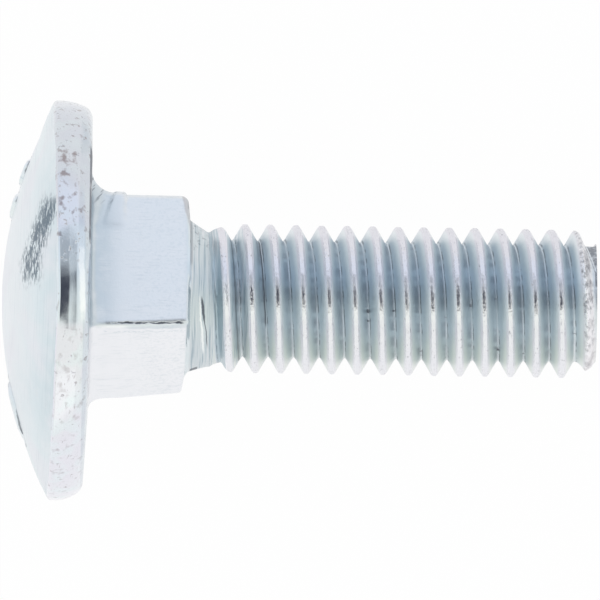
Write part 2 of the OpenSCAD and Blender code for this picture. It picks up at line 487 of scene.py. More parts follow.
def head_rings(s):
    """Rings of points of the head, from the middle of its dome to the edge of its bearing face."""
    dome = dome_outline(s)
    outlines = [dome + rim_outline(s, dome[-1][1], clamp(-math.cos(spoke(i)) * 2 - 0.8))
                for i in range(SPOKES)]
    return [[Vector((r * math.cos(spoke(i)), r * math.sin(spoke(i)) - s.head_offset, h))
             for i, (r, h) in enumerate(ring)] for ring in zip(*outlines)]


class Neck:
    """The square neck, its fillets under the head and its end on the circle of the shoulder.

    Two of its four corners stand out: one has a large web with a fold, and one ends later."""

    WEBBED, LONG = 0, 1

    def __init__(self, s):
        self.s = s
        self.half = s.neck_width / 2 - s.neck_corner
        square = [square_point(i, self.half, s.neck_corner, s.neck_turn) for i in range(SPOKES)]
        self.near = [near for _, near, _ in square]
        self.corner = [corner for _, _, corner in square]
        self.fillets = [self.fillet(i) for i in range(SPOKES)]

    def fillet(self, i):
        """Radius under the head, smaller on the flats than at the corners."""
        s, near = self.s, self.near[i]
        size = s.neck_web if near > 0 and self.corner[i] == self.WEBBED else s.neck_fillet
        return s.neck_fillet * 0.6 + (size - s.neck_fillet * 0.6) * near ** 0.7

    def wall(self, i, height, out):
        """A point of the wall at a height, moved out from it."""
        s = self.s
        wide = self.half + s.neck_taper * (0.5 - height / s.neck_length) / 2
        return square_point(i, wide, s.neck_corner + out, s.neck_turn)[0]

    def goal(self, i):
        """A point of the circle where the shoulder starts."""
        across = self.s.neck_width / 2 + self.s.shoulder_lean * math.sin(spoke(i))
        return Vector((across * math.cos(spoke(i)), across * math.sin(spoke(i))))

    def wall_end(self, i):
        """Height where the wall ends, sooner at the corners and a little uneven."""
        s = self.s
        slope = s.neck_bevel / (s.neck_width / 2 * (math.sqrt(2) - 1))
        reach = self.wall(i, s.neck_length, 0).length
        end = s.neck_length - slope * max(0.0, reach - s.neck_width / 2)
        end += 0.06 * MM * math.sin(spoke(i)) - 0.05 * MM
        return end + 0.14 * MM * self.near[i] * (self.corner[i] == self.LONG)

    def wall_point(self, i, t, bend):
        """A point from the fillet, t 0, to the edge where the wall ends, t 1, then round that edge."""
        s, near, webbed = self.s, self.near[i], self.corner[i] == self.WEBBED
        fold_start, fold_end = 0.55, 1.32  # in mm
        lean_start, lean_length, flare_length = 1.3 * MM, 2.3 * MM, 0.5 * MM
        end = self.wall_end(i)
        arc = (0.12 + 0.2 * near * webbed) * MM
        inset = arc * (1 - math.cos(bend))
        height = self.fillets[i] + (end - arc - self.fillets[i]) * t + arc * math.sin(bend)
        folded = webbed and fold_start < height / MM < fold_end
        fold = near ** 0.5 * s.neck_fold if folded else 0
        point = self.wall(i, height, fold - inset)
        point.y += s.neck_lean * max(0.0, height - lean_start) / lean_length
        # The middle of each flat flares out to the shoulder.
        flare = clamp((height - end) / flare_length + 1) ** 2
        point *= 1 + flare * max(0.0, self.goal(i).length / point.length - 1)
        return Vector((point.x, point.y, height))

    def bearing_rings(self, edge):
        """Flat rings from the edge of the bearing face towards the foot of the fillets."""
        foot = [self.wall(i, 0, self.fillets[i]) for i in range(SPOKES)]
        rings = []
        for step in range(1, BEARING_ROWS + 1):
            flat = [edge[i].xy.lerp(foot[i], step / (BEARING_ROWS + 1)) for i in range(SPOKES)]
            rings.append([Vector((p.x, p.y, 0)) for p in flat])
        return rings

    def fillet_rings(self):
        """Rings up the fillets, from the bearing face to the walls."""
        rings = []
        for step in range(EDGE_ROWS):
            a = math.pi / 2 * step / (EDGE_ROWS - 1)
            ring = [self.wall(i, 0, f * (1 - math.sin(a))) for i, f in enumerate(self.fillets)]
            rings.append([Vector((p.x, p.y, f * (1 - math.cos(a))))
                          for p, f in zip(ring, self.fillets)])
        return rings

    def wall_rings(self):
        """Rings up the walls and round the edge where they end."""
        rings = []
        for step in range(1, WALL_ROWS + ROUND_ROWS + 1):
            t = min(step / WALL_ROWS, 1.0)
            bend = math.pi / 2 / ROUND_ROWS * max(0, step - WALL_ROWS)
            rings.append([self.wall_point(i, t, bend) for i in range(SPOKES)])
        return rings

    def end_rings(self, last):
        """Rings from the end of the walls towards the circle where the shoulder starts."""
        rings = []
        for step in range(1, END_ROWS + 1):
            t = step / (END_ROWS + 1)
            rings.append([Vector((*p.xy.lerp(self.goal(i), t ** 0.6),
                                  p.z + (self.s.neck_length - p.z) * t ** 1.6))
                          for i, p in enumerate(last)])
        return rings


def forged_rings(s):
    """Rings of points of the head and neck, from the dome's middle to the start of the shoulder."""
    neck = Neck(s)
    rings = head_rings(s)
    rings += neck.bearing_rings(rings[-1])
    rings += neck.fillet_rings()
    rings += neck.wall_rings()
    rings += neck.end_rings(rings[-1])
    return rings


def join_rings(bm, before, now):
    """Faces between two rings of vertices."""
    for i in range(len(now)):
        j = (i + 1) % len(now)
        bm.faces.new((before[i], before[j], now[j], now[i]))


def skin(bm, rings, middle):
    """Faces over rings of points, closed to a middle point before the first ring."""
    top = bm.verts.new(middle)
    before = [bm.verts.new(p) for p in rings[0]]
    for i in range(len(before)):
        bm.faces.new((top, before[(i + 1) % len(before)], before[i]))
    for ring in rings[1:]:
        now = [bm.verts.new(p) for p in ring]
        join_rings(bm, before, now)
        before = now


def join_neck(bm, s):
    """Bridges the open end of the neck to the open start of the shoulder."""
    highest = s.neck_length + 0.05 * MM
    edges = [e for e in bm.edges if e.is_boundary and all(v.co.z < highest for v in e.verts)]
    bmesh.ops.bridge_loops(bm, edges=edges)


def close_tip(bm, s):
    """Fills the open end at the tip with rings to its middle, a little uneven as a sheared end is."""
    loop = {v for e in bm.edges if e.is_boundary for v in e.verts}
    before = sorted(loop, key=lambda v: math.atan2(v.co.y, v.co.x))
    start = [v.co.copy() for v in before]

    def on_end(x, y, share):
        dent = abs(noise.noise(Vector((x, y, 0)) * 900)) * 0.04 + 0.02
        skew = s.end_skew * max(0.0, 0.2 - 1.6 * x / s.tip_diameter + 0.3 * y / s.tip_diameter)
        return bm.verts.new((x, y, s.bolt_length - skew - dent * (1 - share) * MM))

    for share in (0.96, 0.88, 0.75, 0.6, 0.42, 0.24, 0.1):
        now = [on_end(p.x * share, p.y * share, share) for p in start]
        join_rings(bm, before, now)
        before = now
    middle = on_end(0, 0, 0)
    for i in range(len(before)):
        bm.faces.new((before[i], before[(i + 1) % len(before)], middle))


def raised_bar(bm, s, turn, radius, span, width):
    """A plain bar forged up from the dome, its long way running round the dome."""
    centre = s.dome_radius - s.head_height
    columns, rows = 20, 8
    buried, thickness = 0.12 * MM, 0.3 * MM

    def on_dome(u, v, lift):
        r = radius + v * width / 2
        a = turn + u * span / 2 / radius
        base = centre - math.sqrt(s.dome_radius ** 2 - r * r)
        return Vector((r * math.cos(a), r * math.sin(a) - s.head_offset, base - lift))

    upper = []
    for j in range(rows + 1):
        for i in range(columns + 1):
            u, v = 2 * i / columns - 1, 2 * j / rows - 1
            inward = min(1, (1 - abs(u)) * 5) * min(1, (1 - abs(v)) * 2.4)
            rise = math.sin(math.pi / 2 * inward)
            upper.append(bm.verts.new(on_dome(u, v, BAR_HEIGHT * rise - buried * (1 - rise))))
    lower = [bm.verts.new(v.co + Vector((0, 0, thickness))) for v in upper]
    n = columns + 1
    for j in range(rows):
        for i in range(columns):
            a = j * n + i
            bm.faces.new((upper[a], upper[a + 1], upper[a + 1 + n], upper[a + n]))
            bm.faces.new((lower[a], lower[a + n], lower[a + 1 + n], lower[a + 1]))
    border = list(range(n)) + [j * n + columns for j in range(1, rows + 1)]
    border += [rows * n + i for i in range(columns - 1, -1, -1)]
    border += [j * n for j in range(rows - 1, 0, -1)]
    for a, b in zip(border, border[1:] + border[:1]):
        bm.faces.new((upper[b], upper[a], lower[a], lower[b]))


def strike_head(p, s):
    """Moves a point of the head, which the dies left a little warped, with a lumpy rim."""
    from_middle = Vector((p.x, p.y + s.head_offset, 0))
    r = from_middle.length
    upper, side = -p.x / max(r, MM), from_middle.y / max(r, MM)
    dome_side = clamp((-p.z - 0.25 * MM) / (0.8 * MM)) * clamp((r - 6.3 * MM) / (1.2 * MM))
    bent_back, raised_edge, sunken_edge = 0.055, 0.17 * MM, 0.09 * MM
    p.z -= bent_back * max(0.0, r - s.neck_width * 0.74) * max(0.0, -side) ** 1.5
    p.z -= raised_edge * max(0.0, side) ** 1.5 * dome_side
    p.z += sunken_edge * max(0.0, upper) ** 2 * dome_side
    p.z += 0.004 * MM * (1 + noise.noise(p * 300))
    rim_start, least_dent = s.head_diameter / 2 * 0.93, 0.012
    if r > rim_start:
        lump = noise.noise(p * 420 + Vector((3, 1, 8))) * 0.035
        lump += noise.noise(p * 1500) * 0.022
        p += from_middle.normalized() * min(0.0, lump - least_dent) * MM
        p.z += noise.noise(p * 700 + Vector((9, 4, 2))) * 0.03 * MM


def wear(bm, s):
    """The head as it was struck, and the small dents of tumbling on the neck."""
    for v in bm.verts:
        p = v.co
        if p.z < 0.05 * MM and p.length > 0.1 * MM:
            strike_head(p, s)
        elif p.z < s.neck_length:
            p.x += noise.noise(p * 380) * 0.012 * MM
            p.y += noise.noise(p * 380 + Vector((5, 5, 5))) * 0.012 * MM


def bolt_mesh(s, metal):
    """The whole bolt in one closed mesh, lying in the row's frame."""
    weld, sharp = 0.0015 * MM, math.radians(38)
    bm = bmesh.new()
    bm.from_mesh(wound_thread(s, metal))
    open_edges = [e for e in bm.edges if e.is_boundary]
    if len(open_edges) != 2 * SPOKES:
        raise RuntimeError(f"the thread has {len(open_edges)} open edges, not {2 * SPOKES}")
    skin(bm, forged_rings(s), Vector((0, -s.head_offset, -s.head_height)))
    bmesh.ops.remove_doubles(bm, verts=bm.verts, dist=weld)
    join_neck(bm, s)
    close_tip(bm, s)
    if any(e.is_boundary for e in bm.edges):
        raise RuntimeError("the bolt's mesh is open")
    wear(bm, s)
    for turn, radius, span, width in BARS:
        raised_bar(bm, s, turn, radius * MM, span * MM, width * MM)
    bmesh.ops.recalc_face_normals(bm, faces=bm.faces)
    bm.transform(to_row())
    for v in bm.verts:
        v.co.z = max(v.co.z, LOW.z)  # the rim is worn level with the floor
    for f in bm.faces:
        f.smooth = True
    mesh = bpy.data.meshes.new("bolt_body")
    bm.to_mesh(mesh)
    bm.free()
    mesh.materials.clear()
    mesh.materials.append(metal)
    mesh.set_sharp_from_angle(angle=sharp)
    return mesh


def band(value, low, high, soft):
    """1 between low and high, running out over the soft distance on both sides."""
    return value.ramp(low - soft, low) * value.ramp(high + soft, high)


def line(value, inner, outer):
    """1 where the value is near 0, running out from the inner to the outer distance."""
    return abs(value).ramp(outer, inner)


class Finish:
    """The plating as it is built up: its colour so far, with painted shade, reflections and highlights
    in it, its dark marks and its relief.

    It also says where a point lies, in millimetres in the bolt's own frame: x and y across the
    axis, and h along it from the bearing face to the tip. The upper side has x below 0. So the
    numbers in the functions that use it are places and widths in millimetres, counts of noise
    waves in each millimetre, or shares from 0 to 1 of a noise's level or of a colour's strength."""

    def __init__(self, g, s, f):
        self.g = g
        self.find_point(s)
        self.find_parts(s)
        self.find_thread(s)
        self.broad = g.noise(self.local, 0.35, 2.0)
        self.cloud = g.noise(self.local, 1.3, 4.0)
        self.fine = g.noise(self.local, 9.0, 4.0, 0.6)
        self.grain = g.noise(self.wrapped(20, 16), 1.0, 3.0, 0.65)
        self.tint = f.thread_zinc
        self.dark = 0.0
        self.relief = self.fine * (0.3 - self.rim * 0.2) + self.grain * 0.1

    def find_point(self, s):
        """The point in the bolt's own frame, and its distances from the axes of shank and head."""
        g = self.g
        inverse = to_row().inverted()
        spun = g.add("ShaderNodeMapping", {"Vector": g.add("ShaderNodeTexCoord", out=3),
                                           "Location": inverse.translation,
                                           "Rotation": inverse.to_euler("XYZ")})
        self.local = g.add("ShaderNodeVectorMath", {0: spun, "Scale": 1 / MM}, operation="SCALE")
        self.x, self.y, self.h = g.parts(self.local)
        x, y = self.x, self.y
        self.across = (x * x + y * y).math("SQRT")
        self.cosine, self.sine = x / self.across, y / self.across
        self.y_head = y + s.head_offset / MM
        self.radius = (x * x + self.y_head * self.y_head).math("SQRT")
        self.upper = x.ramp(0.0, -0.3)

    def find_parts(self, s):
        """Dome, rim and neck, the calm stretch of the rim, and the neck's foremost edge."""
        x, y, h = self.x, self.y, self.h
        self.head_radius = s.head_diameter / MM / 2
        head = h.ramp(0.04, -0.02, smooth=False)
        outside = self.radius.ramp(self.head_radius - 0.16, self.head_radius - 0.1)
        self.rim = head * h.ramp(-1.05, -0.95).most(outside) * self.radius.ramp(7.1, 7.3)
        self.dome = head * (1 - self.rim) * h.ramp(-0.9, -1.0)
        self.calm = band(h, -1.15, -0.15, 0.05) * band(y, -1.1, 1.2, 0.25)
        self.neck = band(h, 0.02, s.neck_length / MM - 0.2, 0.1)
        edge = s.neck_turn + math.pi * 0.75
        self.beside = y * math.cos(edge) - x * math.sin(edge)
        self.front = x * math.cos(edge) + y * math.sin(edge)

    def find_thread(self, s):
        """Place in the thread's pitch, 0 on a crest and 0.5 in a root, and the crushed last turn."""
        x, y, turns = self.x, self.y, self.h / (s.pitch / MM) - s.thread_phase
        self.thread = self.h.ramp(4.6, 5.0)
        self.place = (turns - y.math("ARCTAN2", x) / (2 * math.pi)).math("FRACT")
        self.aside = self.place.math("PINGPONG", 0.5)
        self.crest = self.aside.ramp(0.15, 0.11) * self.thread * self.across.ramp(2.55, 2.7)
        self.burnished = self.aside.ramp(0.075, 0.035) * self.crest * band(y, -0.6, 1.0, 0.5)
        last_turn = 17.83
        wound = turns - 0.5 - (-y).math("ARCTAN2", -x) / (2 * math.pi)
        self.end = wound.ramp(last_turn, last_turn + 0.07) * self.across.ramp(2.2, 2.4)

    def wrapped(self, around, along):
        """A place for noise that closes round the axis."""
        return self.g.vector(self.cosine * around, self.sine * around, self.h * along)

    def lay(self, mask, colour, blend="MIX"):
        """A colour over what is there."""
        self.tint = self.g.mix(mask, self.tint, colour, blend)

    def darken(self, mask):
        """A dark mark laid in the steel colour, used for real marks and for painted shade along some
        edges.
        """
        self.dark = mask.most(self.dark)

    def lift(self, height):
        """Relief added to what is there, below 0 for a hollow."""
        self.relief = height + self.relief


def plate_dome(z, f):
    """Pale cyan, rubbed in the middle, with painted shade towards the edge and -y and a painted
    highlight towards +y and -y.
    """
    z.lay(z.dome, f.dome_zinc)
    z.lay(z.dome * z.h.ramp(-1.6, -3.2) * 0.6, f.pale)
    # Painted shade: darker towards the edge and towards -y.
    z.lay(z.dome * (z.h.ramp(-2.4, -1.2) * 0.2 + z.y.ramp(-1.5, -3.5) * 0.09), f.shade)
    # Painted highlight: paler towards +y and -y.
    z.lay(z.dome * abs(z.y_head).ramp(3.6, 6.6) * 0.25, f.painted_highlight)


def plate_rim(z, f):
    """Lilac, with painted shade that turns it teal grey behind and towards +y and lays two grey lines,
    and a painted highlight that makes a facet shine white.
    """
    y, h, cloud = z.y, z.h, z.cloud
    lilac = cloud.ramp(0.65, 0.45, 0.3, 1.0) * (1 - band(y, -0.8, 2.3, 0.5) * 0.7)
    z.lay(z.rim, z.g.mix(lilac, f.dome_zinc, f.lilac))
    # Painted shade: teal grey along the back edge, over the side towards +y and in a patch at its +y
    # edge.
    behind = band(h, -0.22, 0.1, 0.06).most(band(h, -0.42, 0.1, 0.12) * y.ramp(2.2, 2.9))
    teal = band(h + (cloud + z.fine - 1) * 0.35, -0.36, 0.1, 0.16)
    teal = teal * band(y + z.fine * 0.6, 5.9, 6.9, 0.5)
    above = y.ramp(1.9, 3.2) * 0.2 + y.ramp(3.6, 5.2) * 0.14
    z.lay(z.rim * (behind * 0.4).most(above).most(teal * 0.6), f.shade)
    # Painted shade: a grey line along the rim's front edge towards -y.
    front_shade_line = band(z.radius, z.head_radius - 0.22, z.head_radius - 0.13, 0.04) * h.ramp(-0.9, -1.0)
    front_shade_line = front_shade_line * band(y, -4.6, -1.6, 0.6) * cloud.ramp(0.4, 0.55)
    z.lay(front_shade_line * 0.35, f.shade)
    # Painted shade: a grey band across the rim just before its facet.
    between = z.rim * band(h, -0.76, -0.46, 0.05) * band(y, -0.9, 1.4, 0.3)
    z.lay(between * 0.3, f.root_shade)
    # Painted highlight: the facet laid white.
    facet = band(h + (cloud - 0.5) * 0.16 + (y - 0.6) * 0.03, -0.37, -0.24, 0.07)
    z.lay(z.rim * facet * band(y + (cloud - 0.5) * 1.5, -0.5, 1.4, 0.7), f.painted_highlight)


def plate_neck(z, f):
    """Lilac blue flats, a painted reflection that makes them white below the foremost edge, a painted
    reflection that turns the fillet teal, painted shade that darkens the upper flats where they end, and
    a brown grey clipped corner there.
    """
    y, h, cloud = z.y, z.h, z.cloud
    above_edge = z.beside.ramp(0.05, -0.05)
    # Painted reflection: the flats below the foremost edge laid white.
    z.lay(z.neck, z.g.mix(z.beside.ramp(-0.1, 0.1), f.neck_zinc, f.pale))
    z.lay(z.broad.ramp(0.45, 0.62) * z.dome * 0.5, f.lilac)
    z.lay(cloud.ramp(0.35, 0.7) * h.ramp(4.4, 3.9) * 0.3, f.pale)
    # Painted reflection of the head's underside: teal in the fillet on the upper flats.
    z.lay(h.ramp(1.5, 0.1) * above_edge * z.neck * cloud.ramp(0.7, 0.4, 0.5, 1.0) * 0.55, f.shade)
    clipped = (h + (y - 3.95) * 0.25 + (cloud - 0.5) * 0.15).ramp(3.5, 3.58) * y.ramp(1.9, 2.5)
    z.lay(clipped * z.across.ramp(2.95, 3.1) * 0.38, f.rust)
    # Painted shade: the upper flats darker where they end.
    z.lay(h.ramp(3.6, 3.85) * z.neck * above_edge * 0.25, f.shade)


def plate_thread(z, f):
    """Bluer roots from painted shade, paler crests and upper flanks, a painted reflection that pales and
    warms the flanks towards -y, painted shade on the crests away from the line nearest the camera and in
    the first groove, and matt metal beyond the last crest.
    """
    y, h, aside, thread = z.y, z.h, z.aside, z.thread
    # Painted shade: the roots laid darker and bluer.
    z.lay(aside.ramp(0.2, 0.4) * thread * 0.75, f.root_shade)
    z.lay(aside.ramp(0.34, 0.14) * thread * 0.5, f.pale)
    # Painted reflection: one flank of each turn paler towards -y.
    z.lay(band(z.place, 0.08, 0.45, 0.1) * thread * y.ramp(0.8, -1.8) * 0.38, f.pale)
    z.lay(z.crest.most(z.end), f.pale)
    # Painted shade: crests darker away from the line nearest the camera, less towards -y.
    worn = aside.ramp(0.2, 0.14) * thread * (1 - z.end) * abs(y + 0.1).ramp(0.25, 1.2)
    z.lay(worn * y.ramp(-2.2, -1.0, 0.4, 1.0), f.shaded_crest)
    # Painted reflection: a warm tint multiplied into the flanks towards -y.
    z.lay(y.ramp(-0.9, -2.3) * thread * aside.ramp(0.1, 0.24), f.warm_reflection, "MULTIPLY")
    z.lay(z.end * h.ramp(19.3, 19.5), f.sheared)
    # Painted shade in the first groove.
    first_groove = band(z.place, 0.52, 0.84, 0.05) * band(h, 4.5, 5.35, 0.1)
    z.lay(first_groove * 0.85, f.shade)


def streak_with_dies(z, f):
    """Streaks that the dies left round the dome and round the shank before its first full turn."""
    g, h = z.g, z.h
    streak = g.noise(g.vector(z.across * 20 + h * 14, z.cosine * 1.6, z.sine * 1.6), 1.0, 3.0, 0.6)
    z.lay(streak.ramp(0.45, 0.3) * z.dome * 0.35, f.shade)
    drawn = g.noise(g.vector(h * 15 + z.broad * 3, z.cosine * 0.9, z.sine * 0.9), 1.0, 3.0, 0.6)
    rolled = band(h, 3.95, 4.9, 0.1).most(band(h, 5.2, 6.3, 0.1) * (1 - z.crest))
    z.lay(drawn.ramp(0.47, 0.36) * rolled * 0.85, f.shade)
    z.lay(drawn.ramp(0.55, 0.62) * rolled * 0.55, f.pale)
    # The plain shank is darkened a little all round.
    z.lay(band(h, 3.95, 4.75, 0.1) * 0.14, f.steel)
    z.lift(streak * z.dome * 0.6 + drawn * rolled * 0.9)


def fold_roots(z, f):
    """A painted highlight and dark lines where the rolled metal closed in the roots, with beads and
    specks.
    """
    g, y, h, thread = z.g, z.y, z.h, z.thread
    wander = (g.noise(z.wrapped(2, 0.7), 1.6, 2.0) - 0.5) * 0.05
    fold = z.place - 0.5 + wander
    speck = g.noise(z.wrapped(5, 2), 1.3, 2.0)
    # Painted highlight along the fold, stronger towards -y.
    light = line(fold, 0.012, 0.05) * thread * y.ramp(1.6, -0.8, 0.3, 0.75)
    dark = line(fold - 0.06, 0.008, 0.035) * speck.ramp(0.4, 0.6, 0.15, 1.0)
    dark = dark.most(line(fold + 0.12, 0.01, 0.05) * band(h, 5.2, 6.4, 0.2)) * thread
    second = line(fold + 0.01, 0.012, 0.045) * band(h, 6.5, 7.05, 0.15)
    second = second * band(y, -0.9, 2.1, 0.3) * z.upper
    beads = g.noise(z.wrapped(9, 1.1), 1.0, 2.0).ramp(0.64, 0.69)
    beads = beads * line(fold, 0.03, 0.07) * y.ramp(0.6, -0.6) * thread
    # Painted highlight: the fold laid lilac.
    z.lay(light * (1 - second) * speck.ramp(0.3, 0.6, 0.2, 0.6), f.lilac)
    z.darken((dark * 0.5).most(second * 0.75).most(beads * 0.8))
    z.darken(z.fine.ramp(0.66, 0.74) * z.aside.ramp(0.36, 0.44) * thread * 0.8)
    z.lift(light * 0.22 - dark * 0.6)


def wear_crests(z, f):
    """Grained crests with dark specks, burnished where they stand highest."""
    spots = z.g.noise(z.wrapped(12, 9), 1.6, 3.0, 0.7).ramp(0.62, 0.7) * z.crest
    z.darken(spots * 0.6)
    z.lift((z.crest - z.burnished * 0.7) * (z.grain - 0.5) - spots * 0.7)


def crack_neck(z, f):
    """A crack where the neck's upper flat folded over its edge, with a lip and a line beside it."""
    g, h, beside, front = z.g, z.h, z.beside, z.front.ramp(2.0, 3.0)
    shaky = (g.noise(g.vector(h * 2.5, 0.0, 0.0), 1.0, 4.0) - 0.5) * 0.17
    thick = g.noise(g.vector(h * 2.4, 3.0, 0.0), 1.0, 3.0, 0.6).ramp(0.35, 0.65, -0.03, 0.01)
    crack = line(beside + 0.1 + shaky, thick + 0.015, thick + 0.06) * band(h, 1.0, 3.5, 0.2) * front
    lip = band(beside + shaky, 0.0, 0.14, 0.05) * band(h, 1.7, 3.4, 0.6)
    below = line(beside + shaky * 1.6 - 0.32, 0.01, 0.05) * band(h, 0.6, 3.7, 0.1)
    z.lay(lip * front * 0.35, f.shade)
    z.lay(below * front * z.fine.ramp(0.4, 0.6) * 0.35, f.shade)
    z.darken(crack * 0.95)
    z.lift(crack * -2.0)


def brush_neck(z, f):
    """Fine scratches along the flats of the neck, and a slight mottle."""
    g, x, y, h = z.g, z.x, z.y, z.h
    brushed = g.noise(g.vector(x * 15, y * 15, h * 1.2), 1.0, 3.0, 0.6).ramp(0.5, 0.3)
    mottle = g.noise(z.local, 8.0, 4.0).ramp(0.52, 0.36) * h.ramp(0.6, 3.0)
    z.lay(z.neck * (brushed * z.cloud.ramp(0.4, 0.6) * 0.2 + mottle * 0.13), f.shade)


def pit_rim(z, f):
    """Brown grey stains, pits and scratches on the rim, greyer towards +y, and painted shade along its
    back edge.
    """
    g, x, y, h = z.g, z.x, z.y, z.h
    pitted = z.rim * (1 - z.calm)
    scuffed = band(y, 3.7, 5.3, 0.4) * band(h, -1.2, -0.65, 0.15) * x.ramp(0.0, -1.0) * 0.085
    stain = (g.noise(g.stretched(z.local, 1, 0.7, 1), 3.3, 2.5) + scuffed).ramp(0.55, 0.76)
    stain = stain * pitted * y.ramp(-2.0, 2.5, 0.45, 1.0)
    pits = g.noise(z.local, 3.6, 4.0, 0.6).ramp(0.63, 0.69) * pitted
    scratch = g.noise(g.vector(x * 3 + h * 5, z.y_head * 3, h * 9), 1.2, 3.0, 0.6).ramp(0.63, 0.7)
    scratch = scratch * pitted
    # The rim greyer towards +y.
    side_greying = pitted * y.ramp(1.0, 2.4) * z.cloud.ramp(0.3, 0.6, 0.04, 0.1)
    # Painted shade along the rim's back edge, towards +y.
    back_edge_shade = band(h, -0.06, 0.05, 0.03) * z.radius.ramp(7.0, 7.2) * band(y, 2.3, 5.6, 0.4)
    z.lay((stain * 0.88).most(pits * 0.55).most(scratch * 0.45).most(side_greying), f.rust)
    z.darken(back_edge_shade * z.cloud.ramp(0.35, 0.5, 0.5, 1.0) * 0.8)
    z.lift(pits * -0.8 - stain * 0.15 - scratch * 0.2)


def mark_and_shade_shoulder(z, f):
    """Dark webs at the foot of the neck, painted shade in the crease where the neck ends, and dents and
    a spot there.
    """
    g, y, h = z.g, z.y, z.h
    webs = g.noise(g.vector(h * 5 - y * 5, h * 1.5, 0.0), 1.0, 3.0).ramp(0.54, 0.62)
    webs = webs * band(h, 0.05, 0.8, 0.1) * y.ramp(3.5, 3.9) * z.across.ramp(5.5, 5.0)
    # Painted shade in the crease where the neck meets the shoulder, towards +y.
    crease_shade = band(h, 3.88, 3.95, 0.03) * band(y, 1.3, 3.2, 0.4) * z.cloud.ramp(0.35, 0.5, 0.4, 1.0)
    dents = g.noise(z.local, 2.9, 5.0, 0.75).ramp(0.5, 0.62) * band(h, 4.05, 4.5, 0.15)
    spot = band(h, 3.8, 3.86, 0.05) * band(y, 3.5, 3.75, 0.1) * z.upper
    z.darken((webs * 0.6).most(crease_shade * 0.4).most(dents * y.ramp(1.6, 2.1) * 0.5).most(spot * 0.4))


def gouge_shank(z, f):
    """A gouge across the shank with a painted highlight on its lip, and a nick below it."""
    g, y, h = z.g, z.y, z.h
    shiver = (g.noise(g.vector(0.0, y * 3, h), 1.0, 3.0) - 0.5) * 0.12
    thick = band(y, -0.6, -0.3, 0.45) * 0.03
    gouge = line(h + y * 0.14 - 4.34 + shiver, thick, thick + 0.03) * band(y, -1.7, -0.15, 0.3)
    thin = y.ramp(0.1, -1.6, 0.003, 0.018)
    lip = line(h + y * 0.0975 - 4.25 + shiver, thin, thin + 0.04) * band(y, -1.9, -0.2, 0.4)
    nick = band(h + shiver, 3.99, 4.22, 0.05) * band(y - h * 0.3 + shiver, -4.04, -3.98, 0.04)
    # Painted highlight on the gouge's lip.
    z.lay(lip * z.upper * 0.8, f.painted_highlight)
    z.darken((gouge * 0.85).most(nick * 0.75) * z.upper)
    z.lift(lip * 0.4 - gouge * 0.8)


def crush_tip(z, f):
    """Crushed and mottled metal beyond the last crest, with a dark burr that has a bright edge."""
    g, y, h = z.g, z.y, z.h
    crushed = g.noise(z.local, 4.5, 5.0, 0.7).ramp(0.44, 0.66) * z.end
    mottled = g.noise(g.stretched(z.local, 1, 0.6, 1), 2.2, 2.0).ramp(0.4, 0.7) * z.end
    torn = g.noise(z.local, 3.6, 4.0, 0.7).ramp(0.36, 0.56, 0.3, 1.0)
    slant = h + (y - 2.54) * 0.31
    bright = band(slant, 19.27, 19.3, 0.025) * band(y, 1.35, 2.2, 0.15)
    burr = slant.ramp(19.2, 19.24).most(h.ramp(19.6, 19.66)) * band(y, 0.75, 2.4, 0.15)
    burr = burr * torn * (1 - bright) * z.upper
    z.lay(mottled * 0.42, f.rust)
    z.darken(burr * 0.7)
    z.darken(crushed * y.ramp(-1.0, 0.6, 0.4, 0.72) * y.ramp(2.4, 1.5, 0.5, 1.0))
    z.lift(crushed * y.ramp(2.0, 1.4, -0.2, -0.8) - burr * 0.6)


def scuff_dome(z, f):
    """A streaked patch across the upper half of the dome."""
    g, x, y, h = z.g, z.x, z.y, z.h
    patch = h + 2.3 - (y - 1.4).most(0.0) * 0.34
    lines = g.noise(g.vector(h * 27, y * 3.0, x * 3.0), 1.0, 4.0, 0.65)
    smear = band(patch, -0.15, 0.2, 0.4) * band(y, 0.9, 3.3, 0.9) * z.dome * x.ramp(-2.0, -3.0)
    smear = smear * (lines + smear * 0.12 + (z.cloud - 0.5) * 0.35).ramp(0.567, 0.607)
    z.lay(smear * 0.9, f.smudge)
    z.lift(smear * -0.6)


def outline_bars(z, f):
    """Broken dark outlines round the raised bars."""
    bar_outline = 0.0
    for turn, distance, span, width in BARS:
        out = z.x * math.cos(turn) + z.y_head * math.sin(turn)
        along = abs((z.x * -math.sin(turn) + z.y_head * math.cos(turn)) / (span / 2))
        ring = along.most(abs((out - distance) / (width / 2))) + (z.cloud - 0.5) * 0.3
        bar_outline = (band(ring, 0.99, 1.03, 0.06) * z.dome * out.ramp(0.0, 1.0)).most(bar_outline)
    bar_outline = bar_outline * z.cloud.ramp(0.4, 0.6, 0.35, 1.0)
    z.darken(bar_outline * 0.75)
    z.lift(bar_outline * -0.8)


